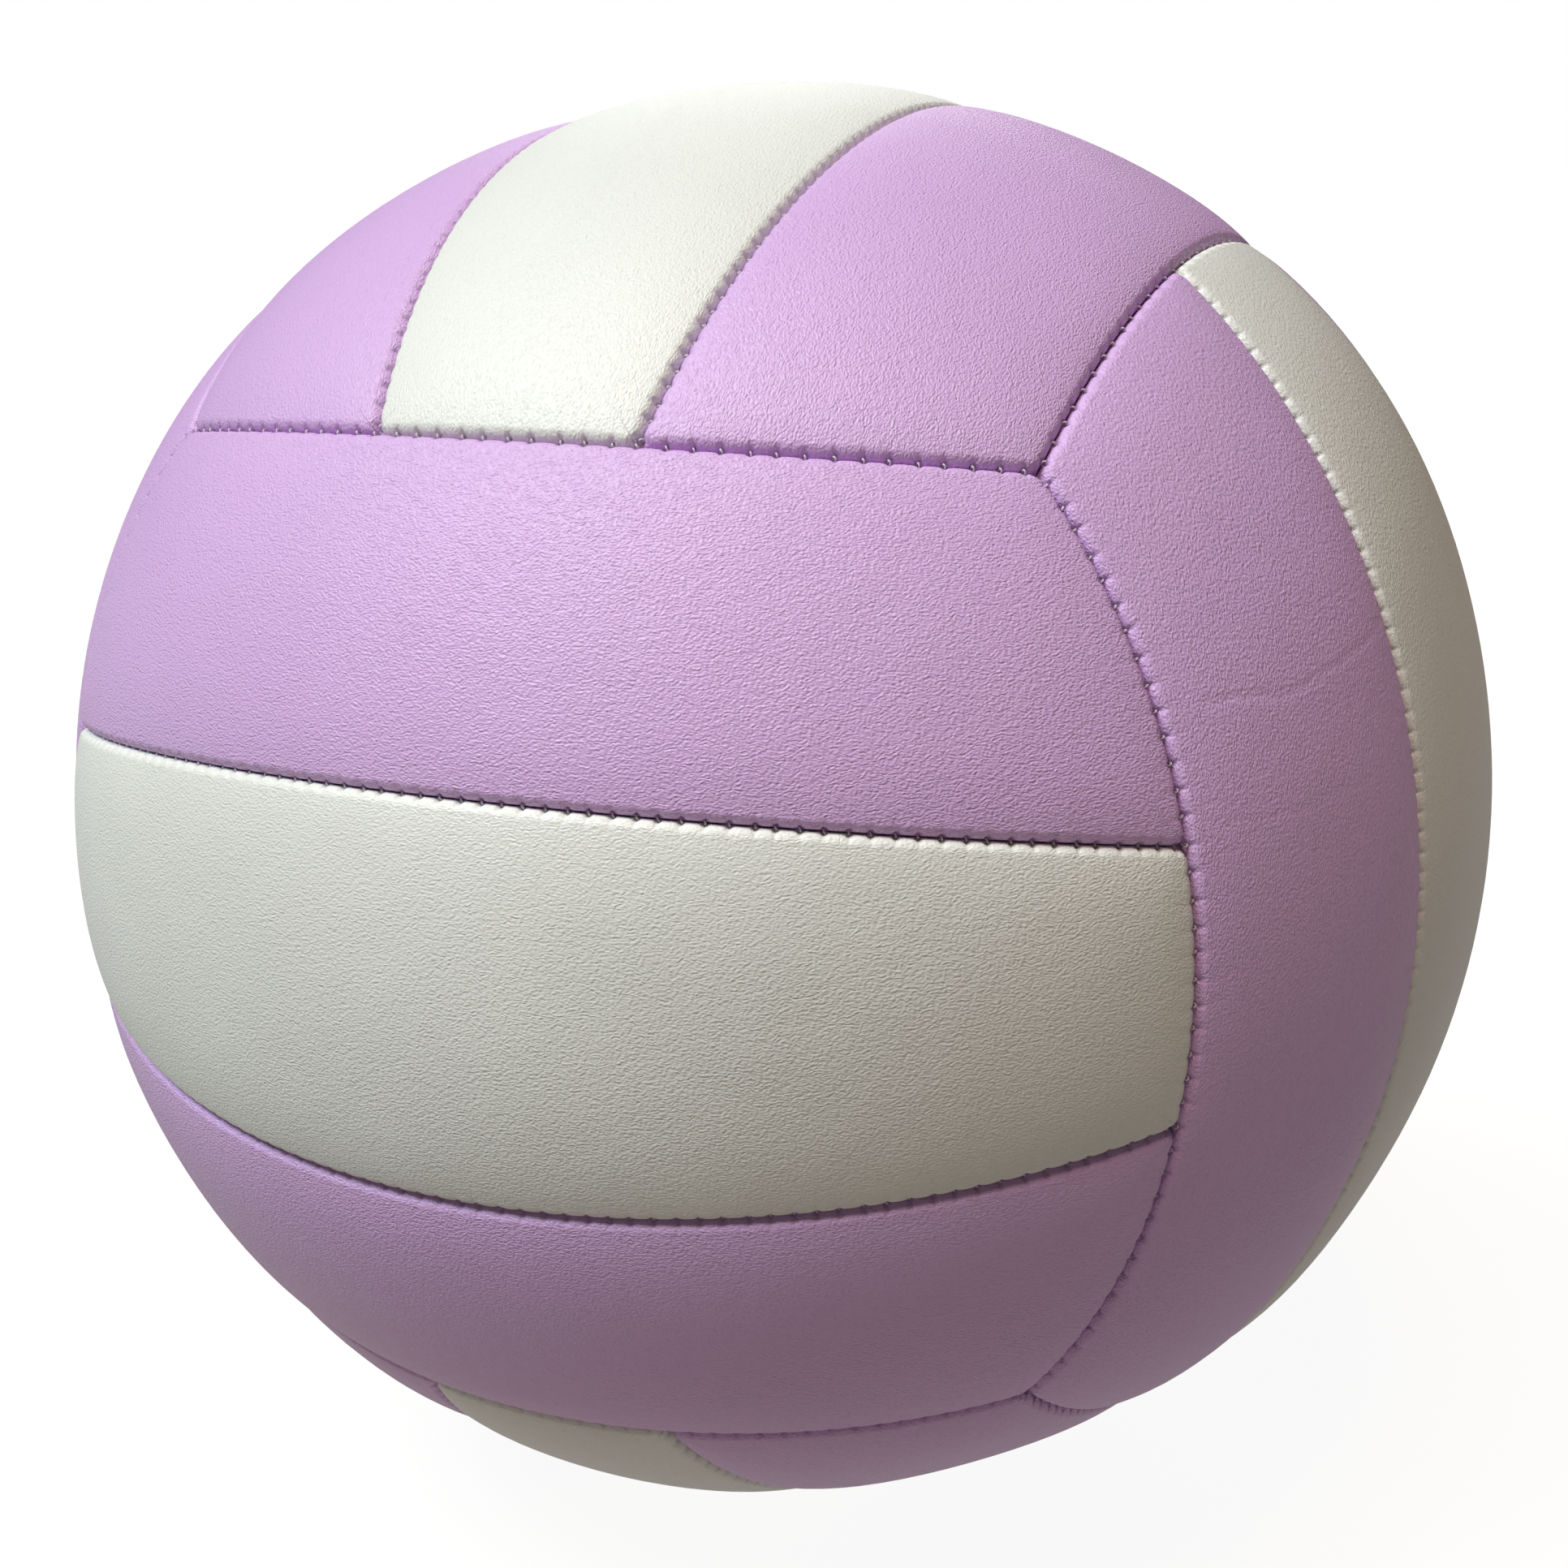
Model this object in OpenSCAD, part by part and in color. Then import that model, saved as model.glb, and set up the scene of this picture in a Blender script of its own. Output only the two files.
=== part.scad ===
// An inflated ball of the size used indoors and on grass, sewn from eighteen panels.
// Six groups of three parallel strips cover it. Every group turns a quarter against its neighbours,
// so that the ends of its strips meet the long side of the next group.
// The origin is the centre of the ball, +Z is up, the front group faces -Y and its strips run along X.

/* [Ball] */
// Diameter over the crowns of the panels
ball_d = 210; // [190:1:230]
// Cells along a strip; an odd number leaves a flat cell in the middle, on which the ball rests
cells_along = 13; // [9:2:13]
// Cells across a strip; an odd number again
cells_across = 5; // [3:2:7]

/* [Panel layout] */
// Angle at the centre of the ball from the middle of a group to the middle of its bowed end edge
end_edge_angle = 51.8; // [49:0.2:54]
// Angle from the middle line of a group to the middle of the seam between two strips
strip_seam_angle = 14.2; // [12:0.2:16]
// Angle from the middle line of a group to the ends of that seam
strip_end_angle = 9.8; // [8:0.2:11.6]

/* [Cover] */
// Thickness of the synthetic leather skin
skin_t = 0.9; // [0.6:0.1:1.4]
// Thickness of the foam behind the skin
foam_t = 2.4; // [1.6:0.1:3.6]
// Thickness of the woven backing behind the foam
backing_t = 0.4; // [0.3:0.1:0.8]
// Radius of the rolled edge with which a skin turns in to its seam
edge_roll_r = 3; // [2.2:0.1:4]
// Flat cuts that round the rolled edge
roll_steps = 3; // [2:1:4]
// Width of the gap between two turned-in edges
seam_gap = 0.5; // [0.4:0.05:0.8]
// Clearance between the glued plies
ply_gap = 0.05; // [0.02:0.01:0.1]

/* [Seam thread] */
// Diameter of the thread
thread_d = 0.8; // [0.5:0.1:1.1]
// Clearance between the thread and the rolled edges beside it
thread_clear = 0.2; // [0.2:0.05:0.4]
// Length by which a thread stops short of a seam that it runs into
thread_stop = 1.6; // [1.2:0.2:3]

/* [Bladder] */
// Thickness of the rubber bladder
bladder_t = 1; // [0.7:0.1:1.6]
// Clearance between the bladder and the cover
bladder_gap = 0.3; // [0.2:0.05:0.5]

/* [Valve] */
// Diameter of the valve's neck, which shows in the cover
neck_d = 7; // [6:0.2:8]
// Clearance round the neck
neck_clear = 0.2; // [0.1:0.05:0.4]
// Depth of the neck's end below the face of the cover
neck_recess = 0.7; // [0.5:0.1:1.2]
// Diameter of the barrel inside the bladder
barrel_d = 9.6; // [8.6:0.2:12]
// Length of the barrel inside the bladder
barrel_l = 11; // [8:0.5:14]
// Diameter of the flange that is bonded inside the bladder
flange_d = 28; // [22:1:36]
// Thickness of that flange
flange_t = 1.2; // [0.8:0.1:2]
// Diameter of the plug pushed into the valve
plug_d = 4.4; // [4:0.1:5]
// Clearance round the plug
plug_clear = 0.05; // [0.02:0.01:0.1]
// Rubber left below the plug at the end of the barrel
barrel_floor = 1.5; // [1:0.1:2.5]
// Diameter of the needle's way in
needle_d = 2; // [1.6:0.1:2.2]
// Length of the needle's way in
needle_l = 11; // [8:0.5:12]
// Diameter of the reinforcing patch behind the valve hole
patch_d = 36; // [30:1:44]
// Thickness of the patch
patch_t = 0.5; // [0.3:0.1:0.7]

/* [Hidden] */
GROUPS = ["front", "back", "right", "left", "top", "bottom"];
STRIPS = ["first", "middle", "last"];

// How the two outer strips of each group are called, first the one on the group's +Z side
STRIP_NAMES = [
    ["upper", "middle", "lower"],
    ["upper", "middle", "lower"],
    ["front", "middle", "back"],
    ["back", "middle", "front"],
    ["left", "middle", "right"],
    ["right", "middle", "left"],
];

// The turn that brings a group, modelled facing +X with its strips along Y, to its place
GROUP_TURNS = [[0, 0, -90], [0, 0, 90], [90, 0, 0], [90, 0, 180], [0, -90, 0], [0, 90, 0]];

PLIES = ["skin", "foam", "backing"];

function ply_node(group, strip, ply) = str(GROUPS[group], "_", STRIP_NAMES[group][strip], "_", ply);

$fn = 96;

lilac = [0.78, 0.62, 0.86];
ivory = [0.93, 0.94, 0.9];
foam_colour = [0.93, 0.86, 0.62];
cloth_colour = [0.82, 0.8, 0.74];
rubber_colour = [0.16, 0.16, 0.17];
plug_colour = [0.45, 0.45, 0.46];
thread_colour = [0.96, 0.95, 0.97];

crown_r = ball_d / 2;

// A seam is a circle on the ball, given by the direction of its axis and the angle from that axis.
// The three groups at a corner meet where the three coordinates are equal.
corner_share = 1 / sqrt(3);
edge_tilt = atan((corner_share - cos(end_edge_angle)) / (corner_share - sin(end_edge_angle)));
edge_cone = end_edge_angle + edge_tilt;
junction_turn = acos(cos(edge_cone) / cos(strip_end_angle)) - edge_tilt;
strip_tilt = atan(
    (sin(strip_seam_angle) - sin(strip_end_angle))
    / (cos(strip_seam_angle) - cos(strip_end_angle) * cos(junction_turn))
);
strip_cone = 90 - strip_seam_angle + strip_tilt;

// The four sides of a strip, counter-clockwise as seen from outside: [axis, angle from that axis].
// The strip lies on the axis side of each.
far_end = [[cos(edge_tilt), -sin(edge_tilt), 0], edge_cone];
near_end = [[cos(edge_tilt), sin(edge_tilt), 0], edge_cone];
outer_long_side = [[sin(edge_tilt), 0, -cos(edge_tilt)], 180 - edge_cone];
seam_below = [[-sin(strip_tilt), 0, cos(strip_tilt)], strip_cone];
seam_above_middle = [[sin(strip_tilt), 0, -cos(strip_tilt)], 180 - strip_cone];
seam_below_middle = [[sin(strip_tilt), 0, cos(strip_tilt)], 180 - strip_cone];
outer_sides = [seam_below, far_end, outer_long_side, near_end];
middle_sides = [seam_below_middle, far_end, seam_above_middle, near_end];

// A cell is flat, so its middle lies a little below the round surface through its corners
cell_length = PI * ball_d * end_edge_angle / (180 * cells_along);
cell_width = PI * ball_d * strip_seam_angle / (180 * cells_across);
cell_sag = (pow(cell_length, 2) + pow(cell_width, 2)) / (4 * ball_d);

// Radii of the layers, from the skin inwards
foam_outer_r = crown_r - skin_t - cell_sag - ply_gap;
foam_inner_r = foam_outer_r - foam_t;
backing_outer_r = foam_inner_r - ply_gap;
backing_inner_r = backing_outer_r - backing_t;
patch_r = backing_inner_r - ply_gap;
bladder_r = backing_inner_r - bladder_gap;
dent_r = patch_r - patch_t - bladder_gap;
bladder_inner_r = bladder_r - bladder_t;
dent_inner_r = dent_r - bladder_t;

wall_inset = seam_gap / 2;
thread_r = thread_d / 2;

// The thread lies between the two rolled edges, as deep as its own thickness lets it
roll_centre_r = crown_r - edge_roll_r;
thread_seat_r = roll_centre_r
    + sqrt(pow(edge_roll_r + thread_r + thread_clear, 2) - pow(edge_roll_r + wall_inset, 2));

neck_hole_d = neck_d + 2 * neck_clear;
neck_end_r = crown_r - cell_sag - neck_recess;
barrel_end_r = dent_inner_r - barrel_l;
plug_end_r = barrel_end_r + barrel_floor;
overrun = 1;

function unit(v) = v / norm(v);
function inset_angle(inset) = asin(inset / crown_r);

// The point where two neighbouring sides cross, both moved into the strip
function corner(a, b, inset) =
    let (
        cos_a = cos(a[1] - inset_angle(inset)),
        cos_b = cos(b[1] - inset_angle(inset)),
        mix = a[0] * b[0],
        in_plane = ((cos_a - cos_b * mix) * a[0] + (cos_b - cos_a * mix) * b[0]) / (1 - mix * mix),
        normal = cross(a[0], b[0])
    )
    in_plane + normal * sqrt(1 - in_plane * in_plane) / norm(normal);

// Points on the unit sphere along a side, from one corner up to the next one
function side_points(side, from, to, steps) =
    let (
        hub = side[0] * (side[0] * from),
        start = from - hub,
        across = cross(side[0], start),
        sweep = atan2(to * across, to * start)
    )
    [for (k = [0 : steps]) hub + start * cos(sweep * k / steps) + across * sin(sweep * k / steps)];

// The four edges of a strip moved in by inset
function edges(sides, inset) =
    [
        for (k = [0 : 3])
            side_points(
                sides[k],
                corner(sides[(k + 3) % 4], sides[k], inset),
                corner(sides[k], sides[(k + 1) % 4], inset),
                k % 2 == 0 ? cells_along : cells_across
            )
    ];

// One closed ring of points round a strip, without the doubled corners
function ring(sides, inset, r) =
    [
        for (edge = edges(sides, inset))
            for (k = [0 : len(edge) - 2])
                r * edge[k]
    ];

// The points inside such a ring, spread evenly over the ball's surface
function inner_points(sides, inset, r) =
    let (
        edge = edges(sides, inset),
        low = edge[0],
        right = edge[1],
        high = edge[2],
        left = edge[3]
    )
    [
        for (j = [1 : cells_across - 1])
            for (i = [1 : cells_along - 1])
                let (
                    u = i / cells_along,
                    v = j / cells_across,
                    between_long = (1 - v) * low[i] + v * high[cells_along - i],
                    between_short = (1 - u) * left[cells_across - j] + u * right[j],
                    from_corners = (1 - u) * (1 - v) * low[0] + u * (1 - v) * right[0]
                        + u * v * high[0] + (1 - u) * v * left[0]
                )
                r * unit(between_long + between_short - from_corners)
    ];

// Place in the list of points of the grid crossing (i, j): on the ring, or inside it
function grid_index(i, j, ring_start, inside_start) =
    j == 0 ? ring_start + i
    : i == cells_along ? ring_start + cells_along + j
    : j == cells_across ? ring_start + 2 * cells_along + cells_across - i
    : i == 0 ? ring_start + (2 * cells_along + 2 * cells_across - j) % ring_size
    : inside_start + (j - 1) * (cells_along - 1) + i - 1;

ring_size = 2 * (cells_along + cells_across);
inside_size = (cells_along - 1) * (cells_across - 1);

function grid_faces(ring_start, inside_start, outward) =
    [
        for (j = [0 : cells_across - 1])
            for (i = [0 : cells_along - 1])
                let (
                    a = grid_index(i, j, ring_start, inside_start),
                    b = grid_index(i + 1, j, ring_start, inside_start),
                    c = grid_index(i + 1, j + 1, ring_start, inside_start),
                    d = grid_index(i, j + 1, ring_start, inside_start)
                )
                each outward ? [[a, d, c], [a, c, b]] : [[a, c, d], [a, b, c]]
    ];

function band_faces(first, next) =
    [
        for (k = [0 : ring_size - 1])
            let (m = (k + 1) % ring_size)
            each [[first + k, first + m, next + m], [first + k, next + m, next + k]]
    ];

// The skin of one strip: its crown, its rolled edge, the wall turned in to the seam, and the lining side
module skin_body(sides) {
    roll_inset = wall_inset + edge_roll_r;
    rolled = [
        for (k = [0 : roll_steps])
            let (turn = 90 * k / roll_steps)
            [roll_inset - edge_roll_r * sin(turn), roll_centre_r + edge_roll_r * cos(turn)]
    ];
    turned_in = [
        [wall_inset, backing_inner_r],
        [wall_inset + skin_t, backing_inner_r],
        [wall_inset + skin_t, roll_centre_r],
        [roll_inset, crown_r - skin_t]
    ];
    profile = concat(rolled, turned_in);
    last_ring = (len(profile) - 1) * ring_size;
    crown_start = last_ring + ring_size;
    lining_start = crown_start + inside_size;
    points = concat(
        [for (p = profile) each ring(sides, p[0], p[1])],
        inner_points(sides, roll_inset, crown_r),
        inner_points(sides, roll_inset, crown_r - skin_t)
    );
    faces = concat(
        grid_faces(0, crown_start, true),
        [for (k = [0 : len(profile) - 2]) each band_faces(k * ring_size, (k + 1) * ring_size)],
        grid_faces(last_ring, lining_start, false)
    );
    polyhedron(points, faces, convexity = 6);
}

// A flat ply behind the skin, cut square along its four sides
module ply_body(sides, outer_r, inner_r, inset) {
    difference() {
        sphere(outer_r);
        sphere(inner_r);
        for (side = sides) {
            angle = side[1] - inset_angle(inset);
            cut_height = max(outer_r * cos(angle), inner_r * cos(angle));
            rotate([0, acos(side[0][2]), atan2(side[0][1], side[0][0])])
                translate([-ball_d, -ball_d, cut_height - 2 * ball_d])
                    cube(2 * ball_d);
        }
    }
}

// What the valve's neck passes through, along the +X line of a group before it is turned
module neck_hole() {
    rotate([0, 90, 0])
        cylinder(d = neck_hole_d, h = crown_r + overrun);
}

module in_group(group) {
    rotate(GROUP_TURNS[group])
        children();
}

module in_strip(strip) {
    mirror([0, 0, strip == 2 ? 1 : 0])
        children();
}

function has_valve(group, strip) = GROUPS[group] == "back" && STRIPS[strip] == "middle";
function sides_of(strip) = STRIPS[strip] == "middle" ? middle_sides : outer_sides;
function skin_colour(strip) = STRIPS[strip] == "middle" ? ivory : lilac;

module skin(group, strip) {
    color(skin_colour(strip))
        in_group(group)
            difference() {
                in_strip(strip)
                    skin_body(sides_of(strip));
                if (has_valve(group, strip))
                    neck_hole();
            }
}

module foam(group, strip) {
    color(foam_colour)
        in_group(group)
            difference() {
                in_strip(strip)
                    ply_body(sides_of(strip), foam_outer_r, foam_inner_r, wall_inset + edge_roll_r);
                if (has_valve(group, strip))
                    neck_hole();
            }
}

module backing(group, strip) {
    color(cloth_colour)
        in_group(group)
            difference() {
                in_strip(strip)
                    ply_body(sides_of(strip), backing_outer_r, backing_inner_r, wall_inset + edge_roll_r);
                if (has_valve(group, strip))
                    neck_hole();
            }
}

// A thread along part of a seam circle, centred on its own +X line
module thread_arc(cone, half_sweep) {
    stop_angle = asin(thread_stop / (thread_seat_r * sin(cone)));
    sweep = half_sweep - stop_angle;
    translate([0, 0, thread_seat_r * cos(cone)])
        rotate([0, 0, -sweep])
            rotate_extrude(angle = 2 * sweep)
                translate([thread_seat_r * sin(cone), 0])
                    circle(r = thread_r, $fn = 24);
}

// The seams that close the two ends of every group
module edge_seam_thread() {
    color(thread_colour)
        for (group = [0 : len(GROUPS) - 1])
            for (end = [0, 180])
                in_group(group)
                    rotate([end, 0, 0])
                        rotate([0, 90, -edge_tilt])
                            rotate([0, 0, 90])
                                thread_arc(edge_cone, asin(corner_share / sin(edge_cone)));
}

// The seams between the strips of every group
module strip_seam_thread() {
    reach = asin(cos(strip_end_angle) * sin(junction_turn) / sin(strip_cone));
    color(thread_colour)
        for (group = [0 : len(GROUPS) - 1])
            for (side = [0, 180])
                in_group(group)
                    rotate([side, 0, 0])
                        rotate([0, -strip_tilt, 0])
                            thread_arc(strip_cone, reach);
}

// Turns a profile, drawn with the valve's axis upwards, round that axis and points it out of the ball
module valve_revolve() {
    rotate(GROUP_TURNS[1])
        rotate([0, 90, 0])
            rotate_extrude()
                children();
}

// Half of a curved disc that follows the ball, as a profile
module curved_disc_profile(outer_r, thickness, hole_d, disc_d) {
    difference() {
        intersection() {
            circle(outer_r);
            translate([hole_d / 2, 0])
                square([(disc_d - hole_d) / 2, outer_r]);
        }
        circle(outer_r - thickness);
    }
}

// A rectangle beside the valve's axis, as a profile
module straight_profile(inner_d, outer_d, from_r, to_r) {
    translate([inner_d / 2, from_r])
        square([(outer_d - inner_d) / 2, to_r - from_r]);
}

// Half of a ball's outline with a round dent where the patch lies, as a profile
module dented_profile(r, dented_r, dent_d) {
    difference() {
        circle(r);
        difference() {
            straight_profile(0, dent_d, 0, crown_r);
            circle(dented_r);
        }
    }
}

// The rubber ball that holds the air
module bladder() {
    dent_d = patch_d + 2 * neck_clear;
    color(rubber_colour)
        valve_revolve()
            difference() {
                intersection() {
                    dented_profile(bladder_r, dent_r, dent_d);
                    straight_profile(0, 2 * crown_r, -crown_r, crown_r);
                }
                dented_profile(bladder_inner_r, dent_inner_r, dent_d + 2 * bladder_t);
                straight_profile(0, neck_hole_d, 0, crown_r);
            }
}

// The moulded valve: flange inside the bladder, neck out to the cover, barrel inwards
module valve_housing() {
    bore_d = plug_d + 2 * plug_clear;
    color(rubber_colour)
        valve_revolve() {
            curved_disc_profile(dent_inner_r - ply_gap, flange_t, bore_d, flange_d);
            straight_profile(bore_d, neck_d, barrel_end_r, neck_end_r);
            straight_profile(bore_d, barrel_d, barrel_end_r, dent_inner_r - flange_t);
            straight_profile(0, barrel_d, barrel_end_r, plug_end_r - plug_clear);
        }
}

// The plug that closes by itself when the needle is drawn out
module valve_plug() {
    color(plug_colour)
        valve_revolve() {
            straight_profile(needle_d, plug_d, plug_end_r, neck_end_r);
            straight_profile(0, plug_d, plug_end_r, neck_end_r - needle_l);
        }
}

// The cloth patch glued behind the cover round the valve hole
module valve_patch() {
    color(cloth_colour)
        valve_revolve()
            curved_disc_profile(patch_r, patch_t, neck_hole_d, patch_d);
}

for (group = [0 : len(GROUPS) - 1])
    for (strip = [0 : len(STRIPS) - 1]) {
        skin(group, strip);
        foam(group, strip);
        backing(group, strip);
    }
edge_seam_thread();
strip_seam_thread();
bladder();
valve_housing();
valve_plug();
valve_patch();
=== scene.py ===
"""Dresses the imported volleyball: sewn leather strips, stitches, padding, rubber parts and a plain studio."""

import math

import bmesh
import bpy
import numpy as np
from bpy.props import FloatProperty, FloatVectorProperty, IntProperty, PointerProperty
from mathutils import Euler, Matrix, Vector


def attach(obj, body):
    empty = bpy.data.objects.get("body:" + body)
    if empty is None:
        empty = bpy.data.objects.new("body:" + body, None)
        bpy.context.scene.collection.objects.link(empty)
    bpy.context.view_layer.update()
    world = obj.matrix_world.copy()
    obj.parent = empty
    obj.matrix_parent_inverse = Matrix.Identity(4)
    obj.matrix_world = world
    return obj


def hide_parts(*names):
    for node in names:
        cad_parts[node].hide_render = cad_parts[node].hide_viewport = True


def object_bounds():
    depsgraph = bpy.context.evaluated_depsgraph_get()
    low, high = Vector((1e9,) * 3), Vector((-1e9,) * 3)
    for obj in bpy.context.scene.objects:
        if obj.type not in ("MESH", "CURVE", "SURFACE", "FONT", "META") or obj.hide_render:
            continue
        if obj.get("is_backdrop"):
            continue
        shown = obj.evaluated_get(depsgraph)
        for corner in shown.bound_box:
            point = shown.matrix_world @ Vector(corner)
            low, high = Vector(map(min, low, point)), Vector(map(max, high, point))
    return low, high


bl_info = {
    "name": "Volleyball",
    "version": (1, 0, 0),
    "blender": (4, 5, 0),
    "location": "View3D > Sidebar > Ball",
    "description": "Sewn cover, stitches, padding and finishes of a volleyball",
    "category": "Object",
}

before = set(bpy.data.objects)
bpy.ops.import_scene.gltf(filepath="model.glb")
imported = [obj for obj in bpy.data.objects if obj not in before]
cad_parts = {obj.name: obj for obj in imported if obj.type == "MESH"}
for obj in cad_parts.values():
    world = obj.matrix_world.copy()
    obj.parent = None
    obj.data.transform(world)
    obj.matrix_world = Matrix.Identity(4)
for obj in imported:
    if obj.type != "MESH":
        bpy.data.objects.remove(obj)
cad_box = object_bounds()

MM = 0.001
BODY = "root"

# Each group of three strips: the turn that brings it to its place from facing +X, and its strips' names
GROUPS = {
    "front": ((0, 0, -90), ("upper", "middle", "lower")),
    "back": ((0, 0, 90), ("upper", "middle", "lower")),
    "right": ((90, 0, 0), ("front", "middle", "back")),
    "left": ((90, 0, 180), ("back", "middle", "front")),
    "top": ((0, -90, 0), ("left", "middle", "right")),
    "bottom": ((0, 90, 0), ("right", "middle", "left")),
}
VALVE_STRIP = "back_middle"
MIRRORED = np.diag((1.0, 1.0, -1.0))

# Where the ball is out of round: degrees to the right of the front, degrees up, rise in mm, spread in degrees
SWELLS = (
    (105.0, 39.0, 2.0, 22.0),
    (-62.0, 76.0, -1.3, 24.0),
    (49.0, -54.0, -0.9, 12.0),
    (77.0, -38.0, 0.9, 10.0),
)

# Creases in the lilac leather: places as degrees to the right of the front and degrees up, and depth in mm
CREASES = (
    (((54.0, 18.9), (61.4, 18.2), (67.2, 19.4), (75.5, 21.3)), 0.065),
    (((52.0, 10.9), (60.5, 10.7), (70.0, 11.6)), 0.025),
    (((-8.0, 34.2), (3.0, 28.4)), 0.04),
    (((-3.5, 36.8), (2.7, 33.8), (9.5, 32.0)), 0.035),
)

# How strongly the rows of a grid are drawn towards a strip's edges
CROWDING = 0.35
LINING_CROWDING = 0.8

# Where each lamp stands, as seen from the camera: to the right, up, and back towards the camera
LAMPS = {"key": (-0.51, 0.73, 0.455), "fill": (-0.1, 0.81, 0.58), "rear": (0.0, 0.75, -1.0)}
PLAIN_LIGHT = (1.0, 1.0, 1.0)


# Settings

def length_setting(name, description, metres):
    return FloatProperty(name=name, description=description, default=metres, unit="LENGTH")


def angle_setting(name, description, degrees):
    return FloatProperty(name=name, description=description, default=math.radians(degrees), subtype="ANGLE")


def number_setting(name, description, value):
    return FloatProperty(name=name, description=description, default=value)


def colour_setting(name, description, value):
    return FloatVectorProperty(name=name, description=description, size=3, subtype="COLOR", default=value)


class BallSettings(bpy.types.PropertyGroup):
    """Sizes of the ball and of its cover."""

    crown_radius: length_setting("Crown radius", "From the centre to the middle of a strip", 0.105)
    end_edge_angle: angle_setting("End edge", "Angle from a group's middle to its end edge", 51.8)
    strip_seam_angle: angle_setting(
        "Strip seam", "Angle from a group's middle line to the middle of its inner seam", 14.2
    )
    strip_end_angle: angle_setting(
        "Strip seam end", "Angle from a group's middle line to the ends of its inner seam", 9.8
    )
    seam_gap: length_setting("Seam gap", "Gap between two turned-in edges", 0.00012)
    roll_radius: length_setting("Edge roll", "Radius with which an edge turns in", 0.0013)
    shoulder_depth: length_setting("Shoulder depth", "How far the padded cover sinks towards a seam", 0.0009)
    shoulder_reach: length_setting("Shoulder reach", "Distance over which the cover sinks", 0.0045)
    corner_radius: length_setting("Corner radius", "Radius of a strip's rounded corners", 0.0013)
    skin_thickness: length_setting("Leather", "Thickness of the synthetic leather", 0.0009)
    foam_top: length_setting("Foam top", "Radius of the foam's outer face", 0.103667)
    foam_bottom: length_setting("Foam bottom", "Radius of the foam's inner face", 0.101267)
    backing_top: length_setting("Backing top", "Radius of the backing's outer face", 0.101217)
    backing_bottom: length_setting("Backing bottom", "Radius of the backing's inner face", 0.100817)
    ply_gap: length_setting("Ply gap", "Clearance between the plies", 0.00005)
    valve_hole: length_setting("Valve hole", "Radius of the hole for the valve", 0.0037)


class StitchSettings(bpy.types.PropertyGroup):
    """How the seams are sewn."""

    edge_pitch: length_setting("Edge stitch", "Stitch length in the seams between groups", 0.0032)
    strip_pitch: length_setting("Strip stitch", "Stitch length in the seams inside a group", 0.0027)
    pitch_spread: number_setting(
        "Pitch spread", "How far a seam's stitch length strays from the rest, as a share of it", 0.12
    )
    unevenness: number_setting("Unevenness", "How far a stitch strays, as a share of its length", 0.08)
    pit_depth: length_setting("Pit", "How far a stitch draws an edge back from the seam", 0.0006)
    pit_width: length_setting("Pit width", "Half the length of edge that a stitch draws back", 0.0003)
    pit_reach: length_setting("Pit reach", "Distance from the seam at which a pit fades", 0.0007)
    scallop: length_setting("Scallop", "How far an edge bulges between two stitches", 0.00014)
    pucker: length_setting("Pucker", "Depth of the small folds at the stitches", 0.00010)
    pucker_reach: length_setting("Pucker reach", "Distance from the seam at which the folds fade", 0.0020)
    thread: length_setting("Thread", "Diameter of the thread", 0.00027)
    loop_depth: length_setting(
        "Loop depth", "Depth of a stitch's top below the crown, in the edge seams", 0.00135
    )
    sunk: length_setting("Sunk", "How much deeper the stitches of the strip seams lie", 0.0004)
    loop_width: length_setting("Loop width", "Width of a stitch across its seam", 0.00048)
    leg: length_setting("Leg", "Length of a stitch's legs below its arch", 0.0006)
    running_depth: length_setting(
        "Running thread", "Depth of the thread between the stitches, below the crown", 0.0038
    )
    slant: angle_setting("Slant", "Angle of the stitches to the seam's square line", 28)
    seed: IntProperty(name="Seed", description="Seed of the stitches' small strays", default=7)


class FinishSettings(bpy.types.PropertyGroup):
    """Colours and surface of the materials."""

    lilac: colour_setting("Lilac", "Colour of the lilac leather", (0.65, 0.425, 0.75))
    ivory: colour_setting("White", "Colour of the white leather", (0.76, 0.775, 0.745))
    thread: colour_setting("Thread", "Colour of the thread", (0.68, 0.62, 0.70))
    foam: colour_setting("Foam", "Colour of the foam", (0.82, 0.72, 0.42))
    cloth: colour_setting("Backing", "Colour of the woven backing", (0.66, 0.62, 0.52))
    rubber: colour_setting("Rubber", "Colour of the bladder", (0.022, 0.022, 0.024))
    plug: colour_setting("Plug", "Colour of the valve's plug", (0.16, 0.16, 0.165))
    stretch: number_setting("Grain stretch", "How much longer than wide the grain is", 1.7)
    grain: length_setting("Grain depth", "Depth of the embossed grain", 0.000145)
    white_grain: length_setting("White grain", "Depth of the grain in the white leather", 0.0001)


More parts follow.
